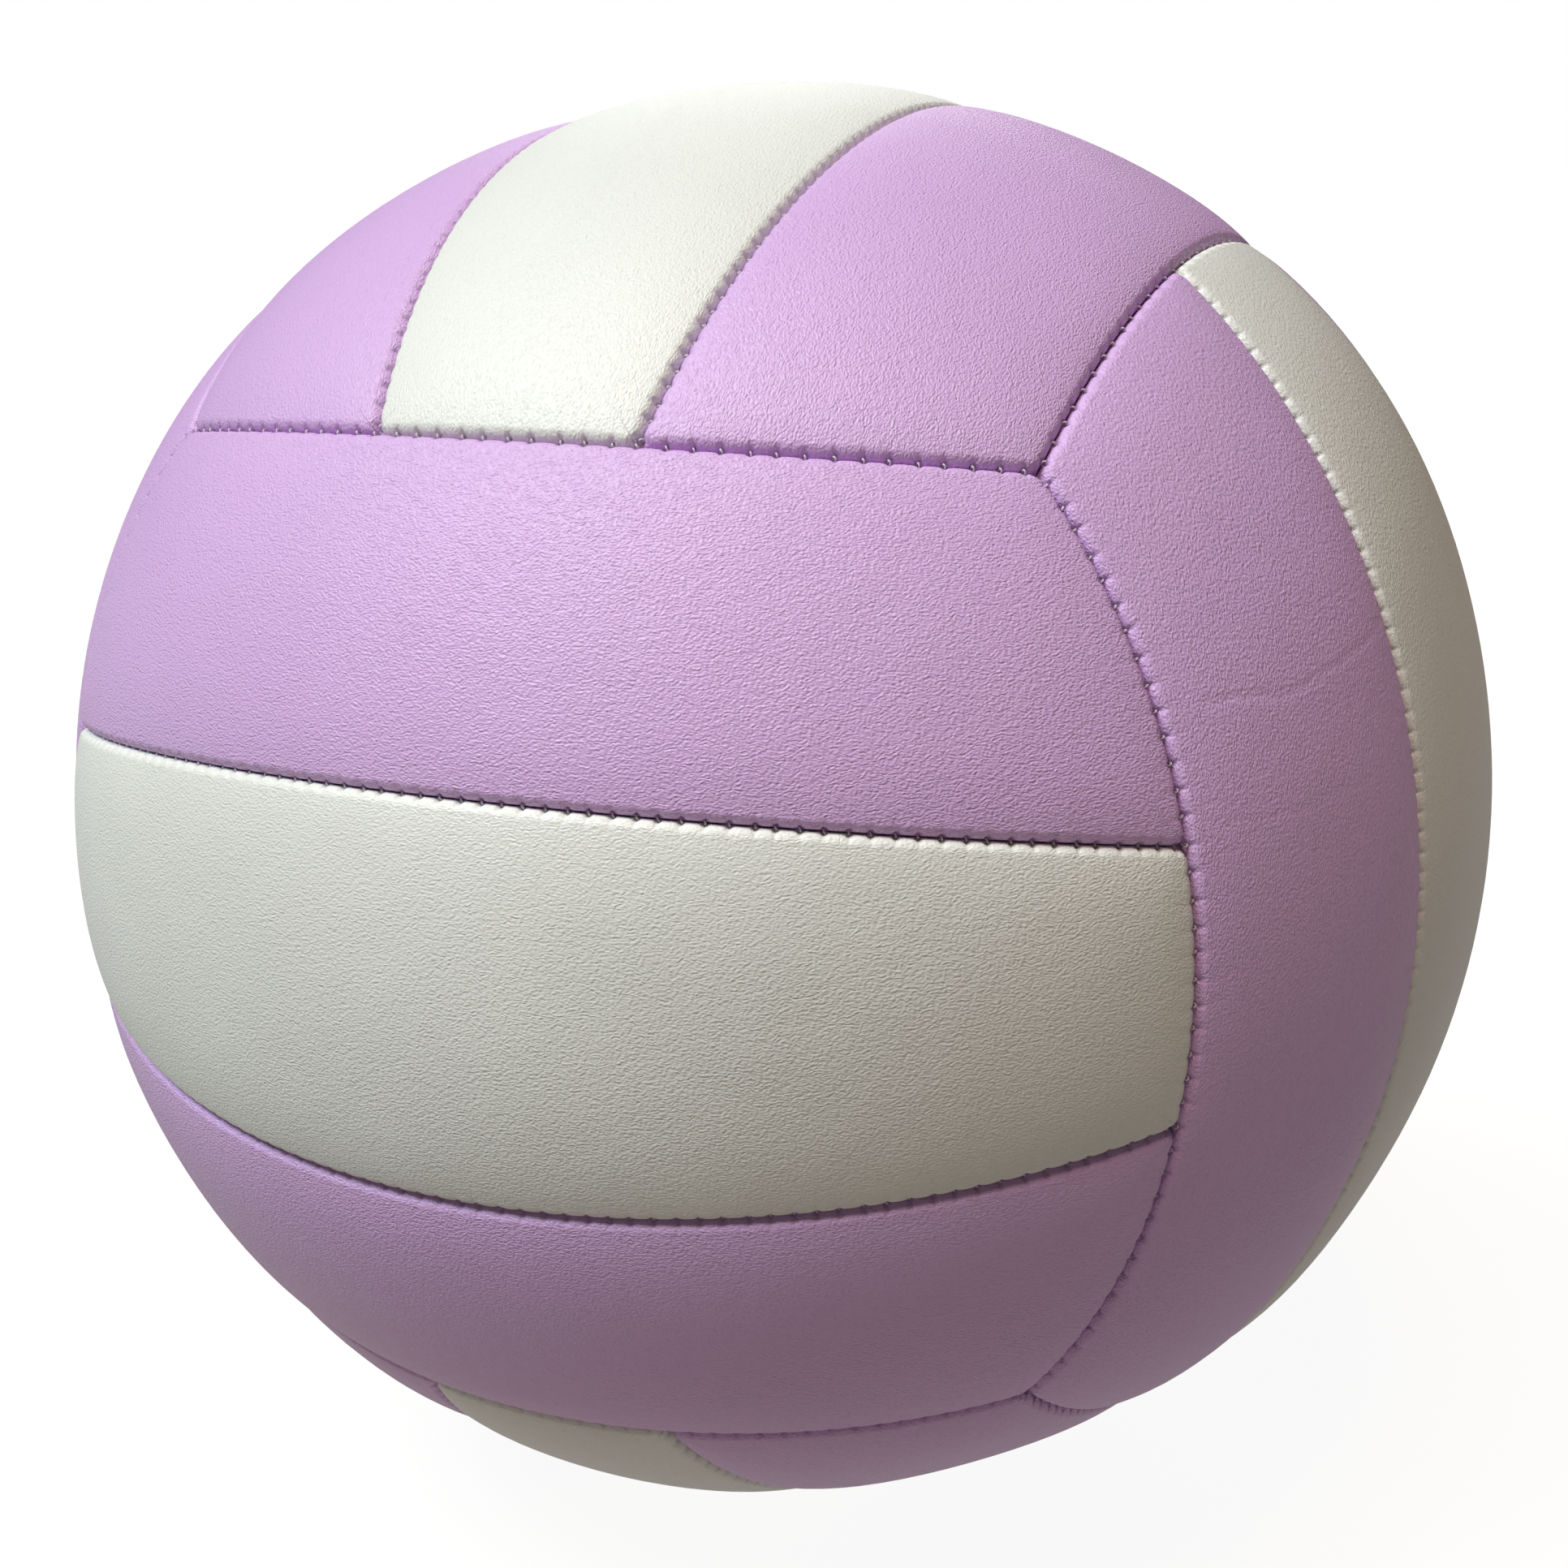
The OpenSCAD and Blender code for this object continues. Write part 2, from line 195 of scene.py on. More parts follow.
class StudioSettings(bpy.types.PropertyGroup):
    """Camera, lamps and floor."""

    distance: length_setting("Distance", "From the ball's centre to the camera", 0.3737)
    azimuth: angle_setting("Azimuth", "Camera's turn to the right of the front", 23.93)
    elevation: angle_setting("Elevation", "Camera's height above the horizon", 15.89)
    roll: angle_setting("Roll", "Camera's roll", -0.81)
    lens: number_setting("Lens", "Focal length in millimetres", 55.66)
    shift_right: number_setting("Shift right", "Camera's shift, as a share of the picture", 0.00137)
    shift_up: number_setting("Shift up", "Camera's shift, as a share of the picture", 0.00084)
    key: number_setting("Key", "Strength of the lamp at the upper left", 3.0)
    key_colour: colour_setting("Key colour", "Colour of the key lamp", (0.82, 0.96, 1.0))
    fill: number_setting("Fill", "Strength of the lamp above the camera", 1.6)
    fill_colour: colour_setting("Fill colour", "Colour of the fill lamp", (1.0, 0.76, 0.60))
    rear: number_setting("Rear", "Strength of the lamp behind the ball", 0.3)
    softness: angle_setting("Softness", "Width of the lamps as seen from the ball", 24)
    ambient: number_setting("Ambient", "Strength of the light from all round", 0.02)
    ambient_colour: colour_setting("Ambient colour", "Colour of the light from all round", (1.0, 0.93, 0.85))
    floor: colour_setting(
        "Floor", "Colour of the floor in the picture, on top of its white", (0.084, 0.072, 0.062)
    )
    floor_white: number_setting("Floor white", "How white the floor stays in the ball's shadow", 0.93)
    bounce: colour_setting(
        "Bounce", "Colour of the lamps' light that the floor throws at the ball", (0.08, 0.06, 0.045)
    )
    floor_light: colour_setting("Floor light", "Even light from the floor on the ball", (0.21, 0.19, 0.17))
    floor_sheen: number_setting("Floor sheen", "Share of the floor's white that the leather mirrors", 0.4)


SETTINGS = {
    "ball": BallSettings,
    "ball_stitching": StitchSettings,
    "ball_finish": FinishSettings,
    "ball_studio": StudioSettings,
}


# Seams and strips

def unit(vectors):
    return vectors / np.linalg.norm(vectors, axis=-1, keepdims=True)


def turn_of(group):
    """The 3 x 3 turn of a group."""
    angles = [math.radians(angle) for angle in GROUPS[group][0]]
    return np.array(Euler(angles, "XYZ").to_matrix())


def direction_of(azimuth, elevation):
    """Direction for degrees to the right of the front and degrees up."""
    turn, rise = math.radians(azimuth), math.radians(elevation)
    return np.array((math.sin(turn) * math.cos(rise), -math.cos(turn) * math.cos(rise), math.sin(rise)))


def swell(directions):
    """How far the ball stands out of its round shape, in metres, by direction."""
    total = np.zeros(len(directions))
    for azimuth, elevation, rise, spread in SWELLS:
        away = np.arccos(np.clip(directions @ direction_of(azimuth, elevation), -1, 1))
        total += rise * MM * np.exp(-((away / math.radians(spread)) ** 2))
    return total


class Seam:
    """Part of a circle on the ball, with the places of its stitches along it."""

    def __init__(self, axis, cone, middle, half_sweep, radius):
        self.axis = axis
        self.cone = cone
        self.outwards = unit(middle - axis * (axis @ middle))
        self.tangent = np.cross(axis, self.outwards)
        self.circle_radius = radius * math.sin(cone)
        self.half_length = self.circle_radius * half_sweep
        self.stitches = None

    def sew(self, pitch, unevenness, chance):
        """Spread stitches evenly along the seam, each strayed a little."""
        count = round(2 * self.half_length / pitch)
        step = 2 * self.half_length / count
        strays = chance.uniform(-unevenness, unevenness, count)
        self.stitches = (np.arange(count) - (count - 1) / 2 + strays) * step

    def place(self, directions):
        """Distance along the seam from its middle to the foot of each direction."""
        return self.circle_radius * np.arctan2(directions @ self.tangent, directions @ self.outwards)

    def from_stitch(self, places):
        """Distance of places from the nearest stitch, and its share of half the way to the next."""
        after = np.clip(np.searchsorted(self.stitches, places), 1, len(self.stitches) - 1)
        before = after - 1
        nearest = np.minimum(np.abs(places - self.stitches[before]), np.abs(places - self.stitches[after]))
        half_pitch = (self.stitches[after] - self.stitches[before]) / 2
        return nearest, np.minimum(nearest / half_pitch, 1)

    def direction(self, place):
        """Direction from the ball's centre to a place on the seam."""
        angle = place / self.circle_radius
        arm = self.outwards * math.cos(angle) + self.tangent * math.sin(angle)
        return self.axis * math.cos(self.cone) + arm * math.sin(self.cone)

    def along(self, place):
        """Direction of the seam at a place on it."""
        angle = place / self.circle_radius
        return self.tangent * math.cos(angle) - self.outwards * math.sin(angle)


class Layout:
    """Where a group's seams lie, worked out from three angles. It faces +X, and its strips run along Y."""

    def __init__(self, ball):
        corner_share = 1 / math.sqrt(3)
        end, middle, tip = ball.end_edge_angle, ball.strip_seam_angle, ball.strip_end_angle
        self.radius = ball.crown_radius
        self.end = end
        self.middle = middle
        self.edge_tilt = math.atan((corner_share - math.cos(end)) / (corner_share - math.sin(end)))
        self.edge_cone = end + self.edge_tilt
        junction = math.acos(math.cos(self.edge_cone) / math.cos(tip)) - self.edge_tilt
        rise = math.sin(middle) - math.sin(tip)
        run = math.cos(middle) - math.cos(tip) * math.cos(junction)
        self.strip_tilt = math.atan(rise / run)
        self.strip_cone = math.pi / 2 - middle + self.strip_tilt
        self.edge_sweep = math.asin(corner_share / math.sin(self.edge_cone))
        self.strip_sweep = math.asin(math.cos(tip) * math.sin(junction) / math.sin(self.strip_cone))

    def seams(self):
        """The edge seams and the strip seams of the whole ball."""
        edge_seams, strip_seams = [], []
        for group in GROUPS:
            turn = turn_of(group)
            for way in (1, -1):
                edge_axis = np.array((math.cos(self.edge_tilt), -way * math.sin(self.edge_tilt), 0))
                edge_middle = np.array((math.cos(self.end), way * math.sin(self.end), 0))
                edge = (turn @ edge_axis, self.edge_cone, turn @ edge_middle, self.edge_sweep)
                edge_seams.append(Seam(*edge, self.radius))
                strip_axis = np.array((-math.sin(self.strip_tilt), 0, way * math.cos(self.strip_tilt)))
                strip_middle = np.array((math.cos(self.middle), 0, way * math.sin(self.middle)))
                inner = (turn @ strip_axis, self.strip_cone, turn @ strip_middle, self.strip_sweep)
                strip_seams.append(Seam(*inner, self.radius))
        return edge_seams, strip_seams

    def sides(self, is_middle):
        """A strip's four sides, counter-clockwise from outside: (axis, angle). It lies on the axis side."""
        edge_sin, edge_cos = math.sin(self.edge_tilt), math.cos(self.edge_tilt)
        strip_sin, strip_cos = math.sin(self.strip_tilt), math.cos(self.strip_tilt)
        far_end = (np.array((edge_cos, -edge_sin, 0)), self.edge_cone)
        near_end = (np.array((edge_cos, edge_sin, 0)), self.edge_cone)
        if is_middle:
            below = (np.array((strip_sin, 0, strip_cos)), math.pi - self.strip_cone)
            above = (np.array((strip_sin, 0, -strip_cos)), math.pi - self.strip_cone)
        else:
            below = (np.array((-strip_sin, 0, strip_cos)), self.strip_cone)
            above = (np.array((edge_sin, 0, -edge_cos)), math.pi - self.edge_cone)
        return [below, far_end, above, near_end]


def crossing(side, other):
    """Where two neighbouring sides cross, as a direction."""
    (axis, cone), (other_axis, other_cone) = side, other
    mix = axis @ other_axis
    share = (math.cos(cone) - math.cos(other_cone) * mix) * axis
    other_share = (math.cos(other_cone) - math.cos(cone) * mix) * other_axis
    in_plane = (share + other_share) / (1 - mix * mix)
    normal = unit(np.cross(axis, other_axis))
    return in_plane + normal * math.sqrt(1 - in_plane @ in_plane)


def along_side(side, start, end, shares):
    """Directions at shares of the way along a side, from one corner to the next."""
    axis = side[0]
    hub = axis * (axis @ start)
    arm = start - hub
    across = np.cross(axis, arm)
    turns = math.atan2(end @ across, end @ arm) * shares
    return hub + np.outer(np.cos(turns), arm) + np.outer(np.sin(turns), across)


class Strip:
    """One strip of the cover: its sides, and the frame that brings them to their place on the ball."""

    def __init__(self, layout, seams, group, index):
        self.name = f"{group}_{GROUPS[group][1][index]}"
        self.is_middle = index == 1
        self.radius = layout.radius
        self.sides = layout.sides(self.is_middle)
        self.turn = turn_of(group) @ (MIRRORED if index == 2 else np.eye(3))
        self.map_offset = 3 * layout.radius * list(GROUPS).index(group)
        self.seams = [self.seam_of(side, seams) for side in self.sides]

    def seam_of(self, side, seams):
        """The seam that a side lies on: the one with the same circle."""
        axis, cone = side
        own = self.turn @ axis * math.copysign(1, math.cos(cone))
        return max(seams, key=lambda seam: own @ seam.axis)

    def directions(self, u, v, inset):
        """Directions, in the strip's own frame, for shares u along it and v across it, moved in by inset."""
        inner = [(axis, cone - inset / self.radius) for axis, cone in self.sides]
        corners = [crossing(inner[k - 1], inner[k]) for k in range(4)]
        low = along_side(inner[0], corners[0], corners[1], u)
        right = along_side(inner[1], corners[1], corners[2], v)
        high = along_side(inner[2], corners[2], corners[3], 1 - u)
        left = along_side(inner[3], corners[3], corners[0], 1 - v)
        u, v = u[:, None], v[:, None]
        between_long = (1 - v) * low + v * high
        between_short = (1 - u) * left + u * right
        bottom_corners = (1 - u) * corners[0] + u * corners[1]
        top_corners = (1 - u) * corners[3] + u * corners[2]
        from_corners = (1 - v) * bottom_corners + v * top_corners
        return unit(between_long + between_short - from_corners)

    def distances(self, directions):
        """Distance of each direction to the four sides, on the ball's surface."""
        return [
            self.radius * (cone - np.arccos(np.clip(directions @ axis, -1, 1))) for axis, cone in self.sides
        ]


def rounded_distances(distances, radius):
    """The distances to the sides, shortened inside each corner as if the corner were rounded."""
    rounded = list(distances)
    for k in range(4):
        here, after = distances[k], distances[(k + 1) % 4]
        in_corner = (here < radius) & (after < radius)
        from_arc = radius - np.hypot(radius - here, radius - after)
        for side in (k, (k + 1) % 4):
            rounded[side] = np.where(in_corner, np.minimum(rounded[side], from_arc), rounded[side])
    return rounded


def roll_depth(distance, start, radius):
    """Depth of an edge that turns in through a quarter circle, by distance from its seam."""
    near = 1 - np.clip((distance - start) / radius, 0, 1)
    return radius * (1 - np.sqrt(1 - near**2))


def cover_depth(ball, stitching, strip, directions, start, roll):
    """How far the cover lies below the crown's sphere, for directions in the strip's own frame."""
    valley_power, blend_power = 1.3, 3
    placed = directions @ strip.turn.T
    distances = rounded_distances(strip.distances(directions), ball.corner_radius)
    depths = []
    for distance, seam in zip(distances, strip.seams):
        nearest, share = seam.from_stitch(seam.place(placed))
        valley = (1 - np.sin(np.pi / 2 * share)) ** valley_power
        near_seam = np.exp(-distance / stitching.pucker_reach)
        pit = stitching.pit_depth * np.exp(-((nearest / stitching.pit_width) ** 2))
        pull = pit * np.exp(-((distance / stitching.pit_reach) ** 2))
        pull += stitching.scallop * valley * near_seam
        fold = stitching.pucker * valley * near_seam
        shoulder = ball.shoulder_depth * np.exp(-distance / ball.shoulder_reach)
        depths.append(roll_depth(distance - pull, start, roll) + shoulder + fold)
    return np.sum(np.array(depths) ** blend_power, axis=0) ** (1 / blend_power) - swell(placed)


# Meshes

def shares_of(verts):
    """Shares 0 to 1 along and across of a unit grid's vertices."""
    places = np.array([vert.co[:2] for vert in verts]) + 0.5
    return places[:, 0], places[:, 1]


def crowd_edges(shares, strength):
    """Draw shares towards 0 and 1, so that rows lie closer at the edges."""
    return shares - strength * np.sin(2 * np.pi * shares) / (2 * np.pi)


def place_verts(verts, positions):
    for vert, position in zip(verts, positions):
        vert.co = position


def set_radius(verts, radius):
    """Move vertices straight in or out to a distance from the ball's centre."""
    for vert in verts:
        vert.co *= radius / vert.co.length


def verts_of(geometry):
    return [item for item in geometry if isinstance(item, bmesh.types.BMVert)]


def finished_mesh(name, bm):
    """A mesh of what a bmesh holds, which is then freed."""
    mesh = bpy.data.meshes.new(name)
    bm.to_mesh(mesh)
    bm.free()
    return mesh


def spin(bm, geometry, axis, angle, steps):
    """Sweep a face and its border round an axis through the centre, and return where it ends."""
    swept = bmesh.ops.spin(
        bm, geom=geometry, cent=(0, 0, 0), axis=axis, angle=angle, steps=steps,
        use_merge=False, use_duplicate=False,
    )
    return swept["geom_last"]


def fine_grid(along, across, has_hole):
    """A unit grid, divided more and more finely towards its border and towards a hole in its middle."""
    bm = bmesh.new()
    bmesh.ops.create_grid(bm, x_segments=along, y_segments=across, size=0.5)
    for border, cuts in ((2, 2), (1, 4)):
        fine = []
        for face in bm.faces:
            x, y = face.calc_center_median()[:2]
            in_border = abs(x) > 0.5 - border / along or abs(y) > 0.5 - border / across
            at_hole = max(abs(x) * along, abs(y) * across) < 1 + border
            if in_border or (has_hole and at_hole):
                fine.append(face)
        edges = {edge for face in fine for edge in face.edges}
        bmesh.ops.subdivide_edges(bm, edges=list(edges), cuts=cuts, use_grid_fill=True)
    return bm


class RoundHole:
    """A round hole in the middle of a strip, opened from a block of cells that is left out of its grid."""

    def __init__(self, radius, half_u, half_v, sphere_radius):
        self.radius = radius
        self.half_u = half_u
        self.half_v = half_v
        self.sphere_radius = sphere_radius

    def cut(self, bm):
        """Delete the block's faces from a unit grid."""
        inner = []
        for face in bm.faces:
            centre = face.calc_center_median()
            if abs(centre.x) < self.half_u and abs(centre.y) < self.half_v:
                inner.append(face)
        bmesh.ops.delete(bm, geom=inner, context="FACES")

    def widen(self, u, v, directions):
        """Move directions so that the block's square rim becomes a circle, and less so further out."""
        reach = 2.0
        x, y = (u - 0.5) / self.half_u, (v - 0.5) / self.half_v
        ring = np.maximum(np.abs(x), np.abs(y))
        angle = np.arctan2(y, x)
        share = np.clip((reach - ring) / (reach - 1), 0, 1)
        share = (share * share * (3 - 2 * share))[:, None]
        circle = self.radius * ring[:, None] * np.column_stack((np.cos(angle), np.sin(angle)))
        across = directions[:, 1:] * self.sphere_radius * (1 - share) + circle * share
        across /= self.sphere_radius
        return np.column_stack((np.sqrt(1 - (across**2).sum(axis=1)), across))

    def rim_distance(self, directions):
        """Distance of each direction from the hole's rim."""
        away = np.linalg.norm(directions[:, 1:], axis=1) * self.sphere_radius
        return np.where(directions[:, 0] > 0, away - self.radius, self.sphere_radius)


def open_edges(bm):
    return [edge for edge in bm.edges if edge.is_boundary]


def turn_in(bm, rim_radius):
    """Extrude the open edges of a mesh straight in to a radius."""
    made = bmesh.ops.extrude_edge_only(bm, edges=open_edges(bm))["geom"]
    set_radius(verts_of(made), rim_radius)


def add_mesh(bm, other):
    """Add another bmesh's mesh, and free it."""
    copy = finished_mesh("copy", other)
    bm.from_mesh(copy)
    bpy.data.meshes.remove(copy)


def close_rims(bm, hole):
    """Bridge the turned-in rim of the outside to that of the lining, round the strip and round its hole."""
    near_hole, round_strip = [], []
    for edge in open_edges(bm):
        middle = (edge.verts[0].co + edge.verts[1].co) / 2
        is_near = hole is not None and middle.x > 0 and middle.yz.length < 2 * hole.radius
        (near_hole if is_near else round_strip).append(edge)
    for edges in filter(None, (near_hole, round_strip)):
        bmesh.ops.bridge_loops(bm, edges=edges)


def add_surface_map(mesh, positions, strip):
    """Add what the leather's grain follows, from positions in the strip's own frame.

    The UV map surface runs along and across the strip, in metres. The attribute seam holds the place along
    the nearest seam and the distance from it, in metres.
    """
    wall_share = 0.6
    directions = unit(positions)
    distances = np.array(strip.distances(directions))
    nearest = distances.argmin(axis=0)
    turned_in = wall_share * (strip.radius - np.linalg.norm(positions, axis=1))
    along = strip.radius * np.arctan2(directions[:, 1], directions[:, 0])
    across = strip.radius * np.arcsin(directions[:, 2])
    along += turned_in * ((nearest == 1) * 1.0 - (nearest == 3))
    across += turned_in * ((nearest == 2) * 1.0 - (nearest == 0))
    corners = np.empty(len(mesh.loops), dtype=np.int32)
    mesh.loops.foreach_get("vertex_index", corners)
    uv = np.column_stack((along + strip.map_offset, across))[corners]
    mesh.uv_layers.new(name="surface").data.foreach_set("uv", uv.ravel())

    placed = directions @ strip.turn.T
    places = np.array([seam.place(placed) for seam in strip.seams])
    at_seam = np.column_stack((
        np.take_along_axis(places, nearest[None], axis=0)[0],
        distances.min(axis=0),
        np.zeros(len(directions)),
    ))
    mesh.attributes.new("seam", "FLOAT_VECTOR", "POINT").data.foreach_set("vector", at_seam.ravel())


def add_object(name, data):
    """A new object in the scene."""
    added = bpy.data.objects.new(name, data)
    bpy.context.scene.collection.objects.link(added)
    return added


def add_piece(name, mesh, material, node):
    """Make an object that stands for a CAD node."""
    mesh.materials.append(material)
    piece = add_object(name, mesh)
    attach(piece, BODY)
    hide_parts(node)
    return piece


def strip_mesh(name, bm, strip):
    """Turn a strip's bmesh to its place, and make it a smooth mesh with a surface map."""
    own = np.array([vert.co for vert in bm.verts])
    place_verts(bm.verts, own @ strip.turn.T)
    bmesh.ops.recalc_face_normals(bm, faces=bm.faces)
    mesh = finished_mesh(name, bm)
    add_surface_map(mesh, own, strip)
    mesh.shade_smooth()
    return mesh


# Strips of the cover

def sewn_seams(layout):
    """The edge and strip seams with their stitches, the same at each call."""
    stitching = bpy.context.scene.ball_stitching
    chance = np.random.default_rng(stitching.seed)
    edge_seams, strip_seams = layout.seams()
    for seams, pitch in ((edge_seams, stitching.edge_pitch), (strip_seams, stitching.strip_pitch)):
        for seam in seams:
            spread = 1 + chance.uniform(-1, 1) * stitching.pitch_spread
            seam.sew(pitch * spread, stitching.unevenness, chance)
    return edge_seams, strip_seams


def all_strips():
    """Every strip of the ball, with its stitched seams."""
    layout = Layout(bpy.context.scene.ball)
    edge_seams, strip_seams = sewn_seams(layout)
    seams = edge_seams + strip_seams
    return [Strip(layout, seams, group, index) for group in GROUPS for index in range(3)]


def rest_on_floor(positions, turn):
    """Flatten what would reach below the face on which the ball rests."""
    placed = positions @ turn.T
    placed[:, 2] = np.maximum(placed[:, 2], cad_box[0].z)
    return placed @ turn


def open_hole(bm, strip, cells, hole_cells, radius, sphere_radius):
    """Leave out the valve's block of cells where a strip has the valve, and return its hole."""
    if strip.name != VALVE_STRIP:
        return None
    hole = RoundHole(radius, hole_cells / cells[0], hole_cells / cells[1], sphere_radius)
    hole.cut(bm)
    return hole


def skin_outside(ball, stitching, strip):
    """The outside of a strip's leather, with its edges turned in."""
    cells, hole_cells = (64, 20), 1
    bm = fine_grid(*cells, strip.name == VALVE_STRIP)
    hole = open_hole(bm, strip, cells, hole_cells, ball.valve_hole, ball.crown_radius)
    u, v = shares_of(bm.verts)
    start = ball.seam_gap / 2
    directions = strip.directions(u, crowd_edges(v, CROWDING), start)
    if hole:
        directions = hole.widen(u, v, directions)
    depth = cover_depth(ball, stitching, strip, directions, start, ball.roll_radius)
    if hole:
        depth = np.maximum(depth, roll_depth(hole.rim_distance(directions), 0, ball.skin_thickness))
    positions = directions * (ball.crown_radius - depth)[:, None]
    place_verts(bm.verts, rest_on_floor(positions, strip.turn))
    turn_in(bm, ball.backing_bottom)
    return bm, hole


def inner_layer(ball, strip, cells, crowding, inset, sphere_radius):
    """A coarser grid for a layer inside the cover, and the directions of its vertices."""
    hole_cells = 2
    bm = bmesh.new()
    bmesh.ops.create_grid(bm, x_segments=cells[0], y_segments=cells[1], size=0.5)
    hole = open_hole(bm, strip, cells, hole_cells, ball.valve_hole + ball.skin_thickness, sphere_radius)
    u, v = shares_of(bm.verts)
    directions = strip.directions(crowd_edges(u, crowding), crowd_edges(v, crowding), inset)
    if hole:
        directions = hole.widen(u, v, directions)
    return bm, directions


def skin_lining(ball, stitching, strip):
    """The inner side of the leather."""
    cells = (48, 16)
    start = ball.seam_gap / 2 + ball.skin_thickness
    bm, directions = inner_layer(ball, strip, cells, LINING_CROWDING, start, ball.crown_radius)
    roll = ball.roll_radius - ball.skin_thickness
    depth = cover_depth(ball, stitching, strip, directions, start, roll) + ball.skin_thickness
    place_verts(bm.verts, directions * (ball.crown_radius - depth)[:, None])
    turn_in(bm, ball.backing_bottom)
    return bm


def make_skin(strip, materials):
    """One strip of synthetic leather."""
    scene = bpy.context.scene
    bm, hole = skin_outside(scene.ball, scene.ball_stitching, strip)
    add_mesh(bm, skin_lining(scene.ball, scene.ball_stitching, strip))
    close_rims(bm, hole)
    slot = "white_leather" if strip.is_middle else "lilac_leather"
    name = f"{strip.name}_cover"
    piece = add_piece(name, strip_mesh(name, bm, strip), materials[slot], f"{strip.name}_skin")


def make_ply(strip, kind, top, bottom, inset, material):
    """A ply behind the leather: foam or backing, thinner where the cover sinks towards a seam."""
    ball, stitching = bpy.context.scene.ball, bpy.context.scene.ball_stitching
    cells, sharp_from = (44, 14), math.radians(50)
    bm, directions = inner_layer(ball, strip, cells, CROWDING, inset, top)
    room = cover_depth(ball, stitching, strip, directions, 0, ball.roll_radius)
    under_skin = ball.crown_radius - ball.skin_thickness - room
    outer = np.minimum(top, under_skin - ball.ply_gap)
    outer = np.maximum(outer, bottom + (top - bottom) / 2)
    place_verts(bm.verts, directions * outer[:, None])
    made = bmesh.ops.extrude_face_region(bm, geom=bm.faces[:], use_keep_orig=True)["geom"]
    set_radius(verts_of(made), bottom)
    name = f"{strip.name}_{kind}_ply"
    mesh = strip_mesh(name, bm, strip)
    mesh.set_sharp_from_angle(angle=sharp_from)
    piece = add_piece(name, mesh, material, f"{strip.name}_{kind}")


# Stitches

def stitch_loop(stitching):
    """One stitch: an arch of thread across the seam, along X, with its legs down into the leather."""
    sides, bends = 5, 6
    bm = bmesh.new()
    bmesh.ops.create_circle(bm, cap_ends=True, segments=sides, radius=stitching.thread / 2)
    bmesh.ops.translate(bm, verts=bm.verts, vec=(stitching.loop_width / 2, 0, -stitching.leg))
    leg_top = bmesh.ops.extrude_face_region(bm, geom=bm.faces[:])["geom"]
    bmesh.ops.translate(bm, verts=verts_of(leg_top), vec=(0, 0, stitching.leg))
    arch_end = spin(bm, leg_top, (0, -1, 0), math.pi, bends)
    leg_end = bmesh.ops.extrude_face_region(bm, geom=arch_end)["geom"]
    bmesh.ops.translate(bm, verts=verts_of(leg_end), vec=(0, 0, -stitching.leg))
    bmesh.ops.recalc_face_normals(bm, faces=bm.faces)
    return finished_mesh("stitch", bm)


def stitch_places(seam, stitching, top, chance):
    """The places of a seam's stitches, as matrices."""
    seat = top - (stitching.loop_width + stitching.thread) / 2
    for place in seam.stitches:
        direction = seam.direction(place)
        outwards = Vector(direction)
        along = Vector(seam.along(place))
        across = along.cross(outwards)
        turn = Matrix((across, along, outwards)).transposed().to_4x4()
        stray = chance.uniform(-1, 1)
        slant = Matrix.Rotation(stitching.slant * (1 + stray / 3), 4, "Z")
        height = seat + stray * stitching.thread / 2 + swell(direction[None])[0]
        yield Matrix.Translation(outwards * height) @ turn @ slant


def running_thread(bm, seam, stitching, radius):
    """The hidden thread that runs from stitch to stitch at the bottom of a seam."""
    sides, steps = 6, 48
    half_angle = seam.stitches[-1] / seam.circle_radius
    start = seam.outwards * math.cos(half_angle) - seam.tangent * math.sin(half_angle)
    centre = (seam.axis * math.cos(seam.cone) + start * math.sin(seam.cone)) * radius
    along = seam.outwards * math.sin(half_angle) + seam.tangent * math.cos(half_angle)
    facing = Vector(along).to_track_quat("Z", "Y").to_matrix().to_4x4()
    made = bmesh.ops.create_circle(
        bm, cap_ends=True, segments=sides, radius=stitching.thread / 4,
        matrix=Matrix.Translation(centre) @ facing,
    )
    ring = made["verts"]
    edges = {edge for vert in ring for edge in vert.link_edges}
    faces = {face for vert in ring for face in vert.link_faces}
    spin(bm, ring + list(edges) + list(faces), seam.axis, 2 * half_angle, steps)


def make_stitches(name, seams, depth, material, node):
    """All the stitches of a list of seams, and the thread that runs between them."""
    scene = bpy.context.scene
    stitching = scene.ball_stitching
    chance = np.random.default_rng(stitching.seed)
    loop = stitch_loop(stitching)
    bm = bmesh.new()
    for seam in seams:
        for place in stitch_places(seam, stitching, scene.ball.crown_radius - depth, chance):
            known = len(bm.verts)
            bm.from_mesh(loop)
            bm.verts.ensure_lookup_table()
            bmesh.ops.transform(bm, matrix=place, verts=bm.verts[known:])
        running_thread(bm, seam, stitching, scene.ball.crown_radius - stitching.running_depth)
    bmesh.ops.recalc_face_normals(bm, faces=bm.faces)
    bpy.data.meshes.remove(loop)
    mesh = finished_mesh(name, bm)
    mesh.shade_smooth()
    add_piece(name, mesh, material, node)


# Materials

def new_material(name):
    """A material with its node tree and shader."""
    material = bpy.data.materials.new(name)
    material.use_nodes = True
    return material, material.node_tree, material.node_tree.nodes["Principled BSDF"]


def set_inputs(tree, node, inputs):
    """Join the inputs that are given as sockets, and set the others."""
    for key, value in inputs.items():
        socket = node.inputs[key]
        if isinstance(value, bpy.types.NodeSocket):
            tree.links.new(value, socket)
        else:
            socket.default_value = value


def add_node(tree, kind, inputs=None, **properties):
    """Add a node, with its properties and inputs."""
    node = tree.nodes.new(kind)
    for key, value in properties.items():
        setattr(node, key, value)
    set_inputs(tree, node, inputs or {})
    return node


